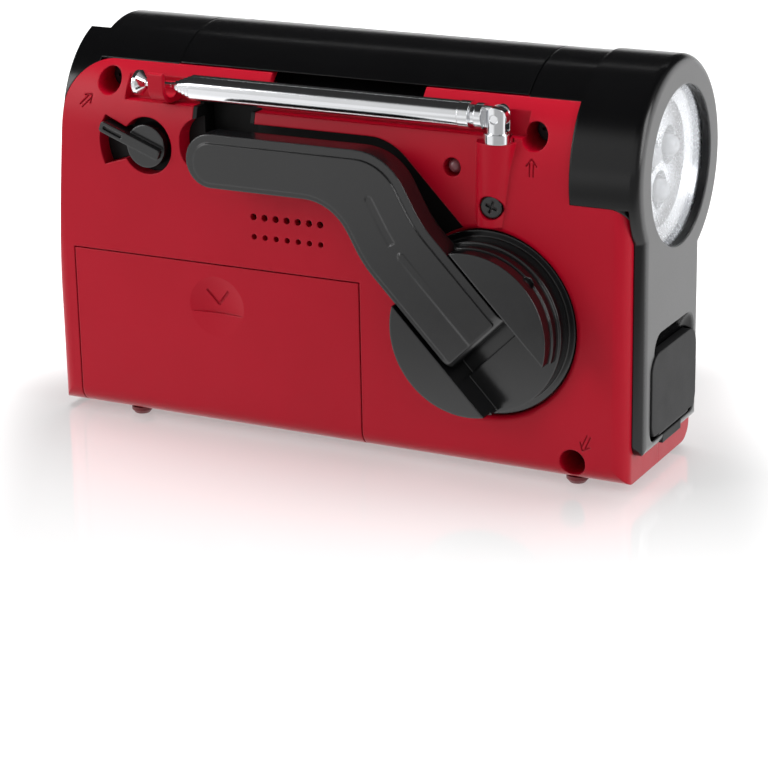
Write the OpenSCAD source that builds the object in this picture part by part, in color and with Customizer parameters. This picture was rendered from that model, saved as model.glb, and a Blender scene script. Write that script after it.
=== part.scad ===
// Hand-crank weather radio, seen from behind: red two-part case with a round barrel along the top,
// a lamp head at the right end, a folding crank over a gear train and dynamo, and a telescopic antenna.
// Every piece is first placed from the rear face (y = 0), the case's middle (x = 0) and its underside (z = 0).
$fn = 64;

/* [Case] */
// Width of the red case between its end faces
body_w = 166.8; // [160:0.2:180]
// Depth of the case at its base
base_d = 43.2; // [42:0.2:48]
// Radius of the barrel along the top
barrel_r = 27; // [25:0.5:29]
// Height of the barrel's axis above the underside
barrel_z = 77; // [76:0.5:80]
// Wall of the case
wall = 2.2; // [1.8:0.1:2.6]
// Rounding of the upright rear edges
edge_r = 4; // [2:0.5:6]
// Rounding of the bottom edges
foot_edge_r = 5; // [4:0.5:6]
// Distance from the rear face to the seam of the two covers
seam_y = 21.6; // [21:0.1:23]
// How far the left end leans in towards its top
end_lean = 5.4; // [3:0.2:6]
// Height where the left end starts to lean
lean_z = 25; // [15:1:40]
// Angle of the rear border between case and top cover, above the barrel's axis
rear_border_angle = 43.5; // [42:0.1:44.5]
// Angle of the front border between case and top cover, above the barrel's axis
front_border_angle = 7.5; // [7:0.1:8]
// Radius of the case's upper left corner
corner_r = 13; // [8:1:14]
// Height of a foot
foot_h = 2; // [1.5:0.1:3]
// Radius of a foot
foot_r = 2.9; // [2:0.1:4]

/* [Lamp head] */
// Length of the cap over the barrel
cap_l = 15.4; // [13:0.2:17]
// How far the cap stands proud of the barrel
cap_proud = 0.6; // [0.3:0.1:1]
// Angle of the cap's lower edge below the barrel's axis
cap_angle = 11.5; // [10:0.1:13]
// Rounding of the case's corner under the cap
cap_corner_r = 5; // [4:0.2:6]
// Thickness of the side panel
panel_t = 3; // [2.8:0.1:4]
// Distance of the panel from the rear face
panel_y = 3.6; // [3:0.1:4]
// Distance of the panel from the front face
panel_front = 1.8; // [1.2:0.1:3]
// Height of the panel's lower edge
panel_z = 6.9; // [6:0.1:7.4]
// Rounding of the panel's outer edge
panel_edge_r = 2.6; // [1:0.1:2.8]
// Width of the head's rim round the lamp
lamp_border = 6.8; // [6.4:0.1:8]
// Depth of the lens behind the panel's face
lens_recess = 2.4; // [1.6:0.1:4]
// Thickness of the lens
lens_t = 1.2; // [1:0.1:2]
// Radius of a lamp diode
led_r = 3.1; // [2.6:0.1:3.2]
// Distance of the lamp diodes from the lamp's axis
led_ring_r = 6.8; // [6.4:0.1:8]

/* [Jacks] */
// Width of the rubber cover over the jacks
flap_w = 30; // [28:0.2:31]
// Height of the rubber cover
flap_h = 22.6; // [20:0.2:24]
// Thickness of the rubber cover
flap_t = 2.4; // [2.2:0.1:2.6]
// How far the rubber cover stands proud of the panel
flap_proud = 0.4; // [0.2:0.1:0.6]
// Height of the rubber cover's lower edge
flap_z = 10; // [9.6:0.1:11]
// Radius of a power jack's socket
jack_r = 2.8; // [2.5:0.1:3]

/* [Battery bay] */
// Width of the battery door
door_w = 86; // [84:0.2:86.4]
// Height of the battery door
door_h = 44.6; // [42:0.2:46]
// Distance of the door's left edge from the case's left end
door_inset = 6.9; // [6:0.1:8]
// Gap round the door
door_gap = 0.35; // [0.2:0.05:0.5]
// How far the door reaches along the underside
door_lip = 12; // [8:0.5:14]
// Diameter of a dry cell
cell_d = 14.2; // [13.5:0.1:14.5]
// Length of a dry cell's can
cell_l = 49.2; // [48:0.1:49.5]
// Radius of the thumb dish in the door
dish_r = 8.2; // [6:0.1:9]
// Depth of the thumb dish
dish_d = 1.45; // [1:0.05:1.6]

/* [Crank] */
// Height of the crank's axis
hub_z = 38.4; // [37:0.1:40]
// Radius of the recess round the hub, at its lip
hub_rim_r = 25.9; // [25.4:0.1:26.4]
// Rounding of the recess's lip
hub_lip_r = 1.5; // [1:0.1:1.6]
// Radius of the hub's base ring
hub_base_r = 22.2; // [21.8:0.1:22.4]
// Radius of the hub's cheeks
hub_r = 21.2; // [20:0.1:21.6]
// Depth of the recess round the hub
hub_recess_d = 4; // [3:0.1:5]
// Thickness of the crank's arm
arm_t = 7.2; // [6:0.1:8]
// Width of the arm's straight handle end
arm_w = 14; // [12:0.2:15]
// Width of the arm at the hub
arm_root_w = 20.2; // [18:0.1:20.4]
// Side gap between the arm and the hub's cheeks
arm_side_gap = 0.95; // [0.5:0.05:1.2]
// Distance of the arm's round end from the case's left end
arm_end = 49.6; // [48:0.2:54]
// Height of the arm's handle above the hub's axis
arm_rise = 37.2; // [36.4:0.2:38]
// Slope of the arm's root below the horizontal
arm_slope = 46; // [45:0.5:47]
// Slope of the arm between its two bends
arm_bend_slope = 61; // [56:0.5:64]
// Distance from the hub's axis to the arm's lower bend
arm_mid = 29.3; // [28:0.1:31]
// Depth of the recess that follows the arm
arm_recess_d = 5; // [4:0.2:6]
// Radius of the pin that the arm folds on
crank_pin_r = 1.5; // [1:0.1:2]
// Radius of the crank's shaft
shaft_r = 4; // [3:0.1:4.5]
// Module of the gears
gear_m = 0.8; // [0.78:0.01:0.8]
// Teeth of the drive gear
drive_teeth = 48; // [46:2:48]
// Teeth of the pinions
pinion_teeth = 12; // [11:1:12]
// Teeth of the idler's wheel
idler_teeth = 36; // [32:1:36]
// Thickness of a gear
gear_t = 3.2; // [2.5:0.1:3.4]
// Radius of the dynamo's can
dynamo_r = 11.5; // [9:0.1:11.5]
// Length of the dynamo's can
dynamo_l = 15; // [12:0.5:16]

/* [Antenna] */
// Angle of the antenna above the horizontal, seen from the barrel's axis
antenna_angle = 28.4; // [27.6:0.1:29]
// Radius of the outer tube
tube_r = 3.35; // [3.1:0.05:3.4]
// Distance of the outer tube's open end from the case's left end
tube_end = 46.2; // [44:0.2:48]
// Distance of the antenna's pivot from the crank's axis
pivot_offset = 3.8; // [3:0.1:4.4]
// Step in radius from one tube to the next
tube_step = 0.47; // [0.44:0.01:0.48]
// Wall of a tube
tube_wall = 0.38; // [0.36:0.01:0.4]
// How far each collapsed tube shows past the next
tube_show = 1.25; // [1:0.05:1.6]
// Radius of the tip
tip_r = 3.3; // [2.5:0.1:3.4]
// Radius of the knuckle's post
post_r = 2.9; // [2.7:0.1:3]
// Radius of the knuckle's pin
knuckle_pin_r = 1.1; // [0.8:0.1:1.3]
// Radius of the pillar at its top
pillar_r = 5.4; // [5:0.1:5.6]

/* [Controls] */
// Distance of the battery selector from the case's left end
selector_inset = 31.1; // [30:0.1:32]
// Height of the battery selector below the barrel's axis
selector_drop = 2.2; // [1.6:0.1:3]
// Radius of the selector's disc
selector_r = 5.7; // [5:0.1:6]
// Length of the selector's pointer from its axis
pointer_l = 13.6; // [12:0.1:14]
// Angle of the selector's pointer above the horizontal
pointer_angle = 20.5; // [18:0.5:24]
// Travel of the selector's pointer, in degrees
pointer_travel = 36; // [30:1:40]
// Radius of the tuning knob
tuning_r = 10.4; // [8:0.1:10.5]
// Thickness of the tuning knob
tuning_t = 10; // [8:0.2:10.2]
// Radius of the volume knob
volume_r = 8; // [6:0.1:9]
// Radius of the speaker's frame
speaker_r = 25; // [22:0.1:25.4]
// Width of the dial window
dial_w = 60; // [54:0.5:62]
// Height of the dial window
dial_h = 16; // [14:0.2:17]

/* [Handle] */
// Distance of the handle's left end from the case's left end
handle_inset = 37.4; // [36:0.2:40]
// Distance of the handle's right end from the case's right end
handle_gap = 29.4; // [28:0.2:32]
// Thickness of the handle
handle_t = 4; // [3.5:0.1:4]
// Width of the handle's two arms
handle_arm_w = 8.6; // [7:0.1:9]
// Radius of the handle's pins
handle_pin_r = 1.5; // [1:0.1:1.8]
// Angle of the handle's pivot above the horizontal, seen from the barrel's axis
handle_pivot_angle = 24; // [23:0.5:26]

/* [Hidden] */
RED = [0.68, 0.05, 0.11];
BLACK = [0.07, 0.07, 0.08];
CHROME = [0.85, 0.86, 0.88];
gap = 0.35;        // clearance between pieces that move past each other
seat = 0.05;       // clearance of a pin, a shaft or a nested tube
over = 1;          // how far a cut runs past the face that it opens
far = 400;         // larger than the whole radio

right_x = body_w / 2;
left_x = -body_w / 2;
panel_x = right_x + panel_t;
panel_w = base_d - panel_y - panel_front;
flap_x = panel_x + flap_proud;
cap_x = right_x - cap_l;
cap_r = barrel_r + cap_proud;
cap_z = barrel_z - barrel_r * sin(cap_angle);
barrel_left_x = left_x + end_lean;
rear_border_z = barrel_z + barrel_r * sin(rear_border_angle);
front_border_z = barrel_z + barrel_r * sin(front_border_angle);
lamp_r = barrel_r - lamp_border;

// The crank stands midway between the battery door and the right end
door_x0 = left_x + door_inset;
door_x1 = door_x0 + door_w;
hub_x = (door_x1 + right_x) / 2 - 1.25;
arm_reach = hub_x - left_x - arm_end;
pivot_x = hub_x + pivot_offset;
selector_x = left_x + selector_inset;
selector_z = barrel_z - selector_drop;

// The knob's notch at the barrel's left end
knob_wall_x = left_x + tuning_t + 1.4;
notch_y = barrel_r - tuning_r - 0.6;
notch_z = barrel_z - tuning_r - 3;

// The crank hangs in front of all that it sweeps past
antenna_gap = 0.35;
post_rim = 0.7;
antenna_axis_d = barrel_r + max(tip_r, tube_r) + antenna_gap;
antenna_y = barrel_r - antenna_axis_d * cos(antenna_angle);
antenna_z = barrel_z + antenna_axis_d * sin(antenna_angle);
pillar_z = antenna_z - 6.2;
pillar_y = antenna_y + pillar_r - tube_r - 0.1;
arm_back_y = antenna_y - max(tube_r, post_r + post_rim) - 0.4;
arm_face_y = arm_back_y - arm_t;
fold_y = arm_back_y - arm_t / 2;
hub_floor_y = arm_back_y + gap;

centre_x = (left_x + flap_x) / 2;
centre_y = (arm_face_y + barrel_r + cap_r) / 2;

module place() translate([-centre_x, -centre_y, foot_h]) children();
module along_x(x0, x1) translate([x0, 0, 0]) rotate([90, 0, 90]) linear_extrude(x1 - x0) children();
module along_y(y0, y1) translate([0, y1, 0]) rotate([90, 0, 0]) linear_extrude(y1 - y0) children();
module rod_x(y, z, x0, x1, r) translate([x0, y, z]) rotate([0, 90, 0]) cylinder(h = x1 - x0, r = r);
module rod_y(x, z, y0, y1, r) translate([x, y0, z]) rotate([-90, 0, 0]) cylinder(h = y1 - y0, r = r);
module cone_y(x, z, y0, y1, r0, r1)
    translate([x, y0, z]) rotate([-90, 0, 0]) cylinder(h = y1 - y0, r1 = r0, r2 = r1);
module block(low, high) translate(low) cube(high - low);
module round_rect(low, high, r) {
    translate([low[0] + r, low[1]]) square([high[0] - low[0] - 2 * r, high[1] - low[1]]);
    translate([low[0], low[1] + r]) square([high[0] - low[0], high[1] - low[1] - 2 * r]);
    for (x = [low[0] + r, high[0] - r], y = [low[1] + r, high[1] - r]) translate([x, y]) circle(r);
}

// A polygon given as [x, y, corner radius], counter-clockwise: its corners inset, and then rounded by arcs
function unit(v) = v / norm(v);
function flat(p) = [p[0], p[1]];
function edge_in(P, i) = unit(flat(P[i]) - flat(P[(i + len(P) - 1) % len(P)]));
function edge_out(P, i) = unit(flat(P[(i + 1) % len(P)]) - flat(P[i]));
function left_of(v) = [-v[1], v[0]];
function turn(a, b) = a[0] * b[1] - a[1] * b[0];
function inset_points(P, d) = [for (i = [0 : len(P) - 1])
    let (a = edge_in(P, i), b = edge_out(P, i), n = left_of(a), m = left_of(b))
    let (q = flat(P[i]) + d * (n + m) / (1 + n * m))
    [q[0], q[1], turn(a, b) > 0 ? max(P[i][2] - d, 0.2) : P[i][2] + d]];
function rounded(P, steps = 8) = [for (i = [0 : len(P) - 1])
    let (a = edge_in(P, i), b = edge_out(P, i), r = P[i][2], s = sign(turn(a, b)))
    let (t = r * tan(acos(a * b) / 2), c = flat(P[i]) - t * a + s * r * left_of(a))
    for (k = [0 : steps]) let (w = s * acos(a * b) * k / steps, n = -s * r * left_of(a))
    c + [n[0] * cos(w) - n[1] * sin(w), n[0] * sin(w) + n[1] * cos(w)]];

// The case's outline: barrel on a slab with rounded bottom edges, seen along X
module body_section(inset = 0) {
    r = foot_edge_r - inset;
    translate([barrel_r, barrel_z]) circle(barrel_r - inset);
    translate([inset + r, inset]) square([base_d - 2 * inset - 2 * r, barrel_z - inset]);
    translate([inset, inset + r]) square([base_d - 2 * inset, barrel_z - inset - r]);
    for (y = [inset + r, base_d - inset - r]) translate([y, inset + r]) circle(r);
}
module body_form() intersection() {
    along_x(left_x, right_x) body_section();
    linear_extrude(far) round_rect([left_x, 0], [right_x, far], edge_r);
    along_y(-over, far) polygon([[left_x, 0], [left_x, lean_z], [barrel_left_x, barrel_z + 7],
        [barrel_left_x, far], [right_x, far], [right_x, 0]]);
}
module cavity() {
    along_x(knob_wall_x + wall, right_x - wall) body_section(wall);
    block([barrel_left_x, wall, wall], [knob_wall_x + wall + over, base_d - wall, notch_z - wall]);
}
module shell() difference() {
    body_form();
    cavity();
}
module knob_notch() block([-far, notch_y, notch_z], [knob_wall_x, far, far]);

// What belongs to the top cover and to the lamp head instead of the case
module top_region() {
    translate([-over, rear_border_z]) square([barrel_r + over, far]);
    translate([barrel_r - over, front_border_z]) square([far, far]);
}
module corner_region() difference() {
    square_low = [barrel_left_x - over, rear_border_z - corner_r];
    translate(square_low) square([corner_r + over, corner_r + over]);
    translate([barrel_left_x + corner_r, rear_border_z - corner_r]) circle(corner_r);
}
module head_corner() along_y(-over, panel_y + panel_edge_r) difference() {
    translate([right_x - cap_corner_r, cap_z - cap_corner_r]) square([cap_corner_r + over, cap_corner_r + 0.01]);
    polygon(rounded([[left_x, -over, 0.2], [right_x, -over, 0.2], [right_x, cap_z, cap_corner_r],
        [left_x, cap_z, 0.2]]));
}
module head_region() {
    block([cap_x, -far, cap_z], [far, far, far]);
    head_corner();
    rod_x(barrel_r, barrel_z, right_x - wall - over, far, sleeve_r + gap);
    for (y = jack_y) rod_x(y, jack_z, right_x - wall - over, far, jack_body_r + gap);
}

// Screws through the rear cover into the front cover: [x, z]
screw_places = [[left_x + 18.4, barrel_z + barrel_r * sin(29.8)], [hub_x + 12.7, barrel_z + barrel_r * sin(22)],
    [right_x - 14.4, 5]];
screw_hole_r = 3.5;
screw_head_r = 3;
screw_shank_r = 1.4;
screw_seat_y = 13;
screw_boss_r = screw_hole_r + 1.6;
screw_end_y = 34;

// The crank arm's outline about the hub's axis: a straight handle, a steep part and a root along arm_slope.
// grow widens its outer side, inner its lower side and heel its end at the hub
function down(angle) = [cos(angle), -sin(angle)];
function out(angle) = [sin(angle), cos(angle)];
arm_heel = arm_t / 2;
arm_elbow_r = 14;
arm_bend_r = 15;
arm_sway_r = 30;
arm_knee = -arm_mid * down(arm_slope);
function on_line(p, angle, z) = p[0] + (p[1] - z) / tan(angle);
function arm_points(grow = 0, inner = 0, heel = 0) =
    let (h = arm_w / 2, e = arm_root_w / 2, tilt = (arm_slope + arm_bend_slope) / 2)
    let (k = 1 / cos((arm_bend_slope - arm_slope) / 2), z0 = arm_rise - h - inner, z1 = arm_rise + h + grow)
    let (p = arm_knee + (e + grow) * k * out(tilt), q = arm_knee - (e + inner) * k * out(tilt))
    let (a = (arm_heel + heel) * down(arm_slope) + (e + grow) * out(arm_slope))
    let (b = (arm_heel + heel) * down(arm_slope) - (e + inner) * out(arm_slope), end_r = h + min(grow, inner) - 0.05)
    [[-arm_reach - grow, z0, end_r], [on_line(q, arm_bend_slope, z0), z0, arm_elbow_r - inner],
     [q[0], q[1], arm_sway_r + inner], [b[0], b[1], 0.6], [a[0], a[1], 0.6], [p[0], p[1], arm_sway_r - grow],
     [on_line(p, arm_bend_slope, z1), z1, arm_bend_r + grow], [-arm_reach - grow, z1, end_r]];
module at_hub() translate([hub_x, 0, hub_z]) children();

// The recess that follows the arm, straight where the arm sways, and the finger pocket over it
recess_end_gap = 8.4;
recess_rise = 0.8;
recess_in = 4;
recess_out = 12.8;
recess_points = let (z0 = arm_rise - arm_w / 2 + recess_rise, z1 = arm_rise + arm_w / 2 + recess_rise)
    let (a = recess_out * out(arm_slope), b = -recess_in * out(arm_slope), x0 = -arm_reach - recess_end_gap)
    [[x0, z0, 6], [on_line(b, arm_slope, z0), z0, arm_elbow_r], [b[0], b[1], 0.6], [a[0], a[1], 0.6],
     [on_line(a, arm_slope, z1), z1, arm_bend_r], [x0, z1, 6]];
module arm_recess(margin) polygon(rounded(inset_points(recess_points, -margin)));
bed_t = 1.2;
pocket_x0 = hub_x - arm_reach - 3.4;
pocket_w = 16;
pocket_d = 10;
pocket_z0 = hub_z + arm_rise + arm_w / 2 - 4;
pocket_z1 = antenna_z - 2.6;
module pocket(margin) block([pocket_x0 - margin, -over - 3, pocket_z0 - margin],
    [pocket_x0 + pocket_w + margin, pocket_d + margin, pocket_z1 + margin]);

// The selector's recess: a round well, and a fan whose edges lie along the pointer's two ends of travel
selector_well_r = selector_r + 1.9;
fan_half = 1.85;
fan_r = pointer_l + 0.9;
fan_top = pointer_angle + 2;
fan_low = pointer_angle - pointer_travel - 2;
selector_d = 4.2;
selector_plate_t = 1.2;
module selector_recess(margin) translate([selector_x, selector_z]) {
    w = fan_half + margin;
    circle(selector_well_r + margin);
    intersection() {
        circle(fan_r + margin);
        polygon([w * out(fan_top), w * out(fan_top) - far * down(fan_top), -w * out(fan_low) - far * down(fan_low),
            -w * out(fan_low)]);
    }
}
selector_shaft_r = 2;

// The antenna: its sections, and its channel, pillar and clip on the rear cover
section_count = 5;
tube_x0 = left_x + tube_end;
tube_x1 = pivot_x - 9.7;
tube_l = tube_x1 - tube_x0;
section_slide = tube_l - 10;
function section_r(i) = tube_r - i * tube_step;
function section_x0(i) = tube_x0 - i * tube_show;
function section_x1(i) = tube_x1 - 1.5 - i * 1.3;
tip_x = section_x0(section_count) - 11.75;
tip_t = 4;
channel_x0 = tip_x - 4.2;
channel_x1 = pivot_x + 6.6;
channel_y = antenna_y + tube_r + 1.7;
channel_z = antenna_z - 5.3;
module channel() block([channel_x0, -far, channel_z], [channel_x1, channel_y, rear_border_z + over]);
clip_x0 = section_x0(section_count) - 4.8;
clip_l = 4.4;
clip_wall = 1.3;
clip_r = tube_r - tube_step + 0.3;
pillar_top_x = pivot_x - 0.9;
pillar_foot_x = pivot_x - 2.6;
pillar_foot_z = hub_z + hub_rim_r - 0.4;
pillar_foot_r = pillar_r - 1.4;
pillar_h = pillar_z - pillar_foot_z;
antenna_screw_r = 2.8;
antenna_screw_x = pivot_x - 1.5;
antenna_screw_z = pillar_foot_z + 5.2;
antenna_screw_back_y = pillar_y - 1.5;
module antenna_pillar() intersection() {
    translate([pillar_foot_x, pillar_y, pillar_foot_z]) rotate([0, atan((pillar_top_x - pillar_foot_x) / pillar_h), 0])
        translate([0, 0, -over]) cylinder(h = pillar_h + 2 * over, r1 = pillar_foot_r, r2 = pillar_r);
    block([-far, -far, pillar_foot_z], [far, far, pillar_z]);
}
// A hook that is open upwards: its lip and its heel are round
module antenna_clip() along_x(clip_x0, clip_x0 + clip_l) difference() {
    union() {
        translate([antenna_y, antenna_z]) circle(clip_r + clip_wall);
        translate([antenna_y - clip_r - clip_wall, antenna_z]) square([clip_wall, clip_r]);
        translate([antenna_y - clip_r - clip_wall / 2, antenna_z + clip_r]) circle(clip_wall / 2 + 0.01);
        translate([antenna_y, antenna_z - clip_r - clip_wall])
            square([channel_y + wall / 2 - antenna_y, clip_r + clip_wall]);
    }
    translate([antenna_y, antenna_z]) circle(clip_r);
    translate([antenna_y - clip_r, antenna_z]) square([far, far]);
}

// Charge light, vents and the notch that lets a finger under the handle
charge_x = hub_x - 8.8;
charge_z = hub_z + arm_rise + 2.3;
charge_r = 1.9;
charge_well_r = 2.4;
vent_rows = [[door_h + 14.4, 0.9], [door_h + 9.1, 0.75]];
vent_count = 7;
vent_pitch = 3.26;
vent_x0 = door_x1 - 30.2;
handle_left = left_x + handle_inset;
handle_right = right_x - handle_gap;
lift_x0 = handle_left + 28;
lift_w = (handle_right - handle_left) * 0.44;
lift_h = 3.3;

// Arrows pressed in beside the screw holes: [x, z, angle]
arrow_places = [[screw_places[0][0] - 7.6, screw_places[0][1] - 6.8, -45],
    [screw_places[1][0] - 0.1, screw_places[1][1] - 9.6, 0], [screw_places[2][0] + 4.5, screw_places[2][1] + 7.7, 156]];
arrow_l = 4.4;
arrow_d = 0.35;
module arrow(p) translate([p[0], p[1]]) rotate(p[2]) {
    for (x = [-0.5, 0.5]) translate([x - 0.15, 0]) square([0.3, arrow_l - 1]);
    for (a = [-1, 1]) translate([0, arrow_l]) rotate(a * 38) translate([-0.17, -2.4]) square([0.34, 2.4]);
}
module arrows() {
    for (p = [arrow_places[0], arrow_places[1]]) intersection() {
        along_y(-over, barrel_r) arrow(p);
        along_x(left_x, right_x) ring(barrel_r - arrow_d, far);
    }
    along_y(-over, arrow_d) arrow(arrow_places[2]);
}

// The shaft runs in a bush in the bottom of the hub's recess
bush_wall = 1.5;
bush_y0 = hub_recess_d + 0.4;
bush_l = 4.4;
bush_flange_t = 1;

module door_region(margin) {
    block([door_x0 - margin, -over, -over], [door_x1 + margin, wall + 0.01, door_h + margin]);
    block([door_x0 - margin, -over, -over], [door_x1 + margin, door_lip + margin, wall + 0.01]);
}

hub_bore_r = hub_rim_r - hub_lip_r;
charge_y = 2.6;
module rear_backing() {
    at_hub() along_y(wall / 2, arm_recess_d + bed_t + wall) arm_recess(wall);
    rod_y(hub_x, hub_z, wall / 2, hub_recess_d + wall, hub_bore_r + wall);
    rod_y(hub_x, hub_z, hub_recess_d, bush_y0 + bush_l, shaft_r + bush_wall + 2.4);
    along_y(wall / 2, selector_d + selector_plate_t + wall) selector_recess(wall);
    pocket(bed_t + wall);
    block([channel_x0 - wall, wall / 2, channel_z - wall], [channel_x1 + wall, channel_y + wall, antenna_z + wall]);
    for (p = screw_places) rod_y(p[0], p[1], 0, seam_y, screw_boss_r);
    rod_y(charge_x, charge_z, wall / 2, charge_y + 3.4, charge_well_r + wall);
    translate([pivot_x, antenna_y, pillar_z - wall]) cylinder(h = 10, r = post_r + post_rim + 0.3 + wall);
}
// The rounded lip of the hub's recess
module hub_lip() at_hub() rotate([-90, 0, 0]) rotate_extrude() polygon(concat(
    [for (a = [0 : 10 : 90]) [hub_rim_r - hub_lip_r * cos(a), hub_lip_r * (1 - sin(a))]],
    [[hub_rim_r, -over], [hub_bore_r - 1, -over], [hub_bore_r - 1, hub_lip_r]]));
module rear_cuts() {
    along_x(barrel_left_x - over, cap_x + over) top_region();
    along_y(-over, notch_y) corner_region();
    head_region();
    knob_notch();
    door_region(door_gap);
    difference() {
        at_hub() along_y(-over - 3, arm_recess_d + bed_t) arm_recess(0);
        rod_y(hub_x, hub_z, hub_recess_d, far, hub_bore_r);
    }
    hub_lip();
    rod_y(hub_x, hub_z, -over, hub_recess_d, hub_bore_r);
    rod_y(hub_x, hub_z, 0, far, shaft_r + bush_wall + 0.01);
    along_y(-over, selector_d + selector_plate_t) selector_recess(0);
    rod_y(selector_x, selector_z, 0, far, selector_shaft_r + 0.3);
    pocket(bed_t);
    for (p = screw_places) {
        rod_y(p[0], p[1], -over, screw_seat_y, screw_hole_r);
        rod_y(p[0], p[1], 0, far, screw_shank_r + 0.2);
    }
    for (row = vent_rows, i = [0 : vent_count - 1])
        rod_y(vent_x0 + i * vent_pitch, row[0], -over, wall + over, row[1], $fn = 24);
    rod_y(charge_x, charge_z, -over, charge_y + 0.6, charge_well_r);
    rod_y(charge_x, charge_z, 0, far, charge_r + 0.02);
    block([lift_x0, -over, rear_border_z - lift_h], [lift_x0 + lift_w, barrel_r / 2, far]);
    arrows();
}
module rear_cover() color(RED) place() difference() {
    union() {
        difference() {
            union() {
                intersection() {
                    shell();
                    block([-far, -far, -far], [far, seam_y, far]);
                }
                intersection() {
                    body_form();
                    rear_backing();
                }
                antenna_pillar();
            }
            rear_cuts();
            channel();
            rod_y(antenna_screw_x, antenna_screw_z, -far, antenna_screw_back_y, antenna_screw_r + 0.3);
        }
        antenna_clip();
        rod_y(hub_x, hub_z - post_drop, hub_recess_d + wall / 2, plate_y, 2.6);
        rod_y(hub_x, hub_z - post_drop, plate_y - 0.01, plate_y + plate_t, 1.48);
    }
    translate([pivot_x, antenna_y, pillar_z - 6]) cylinder(h = far, r = post_foot_r + 0.02);
    translate([pivot_x, antenna_y, pillar_z]) cylinder(h = far, r = post_r + post_rim + 0.3);
}
// Black bed laid in the arm's recess, with the finger pocket in it
module crank_bed() color(BLACK) place() difference() {
    intersection() {
        body_form();
        union() {
            at_hub() along_y(arm_recess_d, arm_recess_d + bed_t - 0.02) arm_recess(-0.02);
            pocket(bed_t - 0.02);
        }
    }
    at_hub() along_y(-far, arm_recess_d) arm_recess(0);
    pocket(0);
    channel();
    rod_y(hub_x, hub_z, -far, far, hub_bore_r + 0.02);
}
post_foot_r = 2;
post_foot_l = 5;

// Front: speaker grille, dial, knobs and the tuning knob's bearing
speaker_x = right_x - 45.4;
speaker_z = 30.4;
grille_r = speaker_r - 2;
grille_slots = 9;
grille_pitch = 4.6;
grille_slot_h = 1.8;
dial_x0 = left_x + 15.4;
dial_travel = dial_w - 12;
dial_z0 = 32;
volume_x = left_x + 67.4;
volume_z = 16;
band_x = left_x + 31.4;
band_z = 16;
band_slot_w = 16;
band_slot_h = 4.6;
band_knob_w = 6;
lamp_button_x = right_x - 11;
lamp_button_z = barrel_z - barrel_r - 5;
lamp_button_r = 4;
knob_shaft_r = 2.5;
button_shaft_r = 1.5;
front_y = base_d;
module grille() intersection() {
    translate([speaker_x, speaker_z]) circle(grille_r);
    union() for (i = [0 : grille_slots - 1]) {
        z = speaker_z + (i - (grille_slots - 1) / 2) * grille_pitch;
        half = sqrt(pow(grille_r, 2) - pow(z - speaker_z, 2)) - 2;
        round_rect([speaker_x - half, z - grille_slot_h / 2], [speaker_x + half, z + grille_slot_h / 2],
            grille_slot_h / 2 - 0.01);
    }
}
module front_cover() color(RED) place() difference() {
    union() {
        intersection() {
            shell();
            block([-far, seam_y, -far], [far, far, far]);
        }
        intersection() {
            body_form();
            rod_y(screw_places[2][0], screw_places[2][1], seam_y, screw_end_y + wall, screw_boss_r - 1);
        }
    }
    along_x(barrel_left_x - over, cap_x + over) top_region();
    head_region();
    knob_notch();
    for (p = screw_places) rod_y(p[0], p[1], 0, screw_end_y, screw_shank_r + 0.02);
    along_y(front_y - wall - over, far) grille();
    along_y(front_y - wall - over, far)
        round_rect([dial_x0, dial_z0], [dial_x0 + dial_w, dial_z0 + dial_h], 2);
    rod_y(volume_x, volume_z, 0, far, button_shaft_r + gap);
    rod_y(lamp_button_x, lamp_button_z, 0, far, lamp_button_r + gap);
    along_y(front_y - wall - over, far) round_rect([band_x - band_slot_w / 2, band_z - band_slot_h / 2],
        [band_x + band_slot_w / 2, band_z + band_slot_h / 2], 0.6);
    rod_x(barrel_r, barrel_z, -far, 0, knob_shaft_r + seat);
}

// Top cover with the bed that the handle lies in
handle_bed_r = barrel_r - handle_t - 0.4;
cover_in_r = handle_bed_r - 2;
lug_in_r = barrel_r - 2 * handle_t - 2.6;
tongue_l = 4.6;
handle_arm_x = [handle_left + gap, handle_right - gap - handle_arm_w];
pivot_y = barrel_r + (barrel_r - handle_t) * cos(handle_pivot_angle);
pivot_z = barrel_z + (barrel_r - handle_t) * sin(handle_pivot_angle);
grip_r = barrel_r - 2;
module ring(r0, r1) translate([barrel_r, barrel_z]) difference() {
    circle(r1);
    circle(r0);
}
module above_pivot(low) {
    translate([-over, low]) square([barrel_r + over, far]);
    translate([barrel_r - over, pivot_z]) square([far, far]);
}
module at_pivot() translate([pivot_y, pivot_z]) children();
module arm_bed() {
    intersection() {
        ring(handle_bed_r, far);
        above_pivot(0);
    }
    at_pivot() circle(handle_t + 1.4);
}
module grip_bed() difference() {
    intersection() {
        ring(handle_bed_r, far);
        above_pivot(0);
    }
    at_pivot() circle(grip_r - gap);
}
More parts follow.
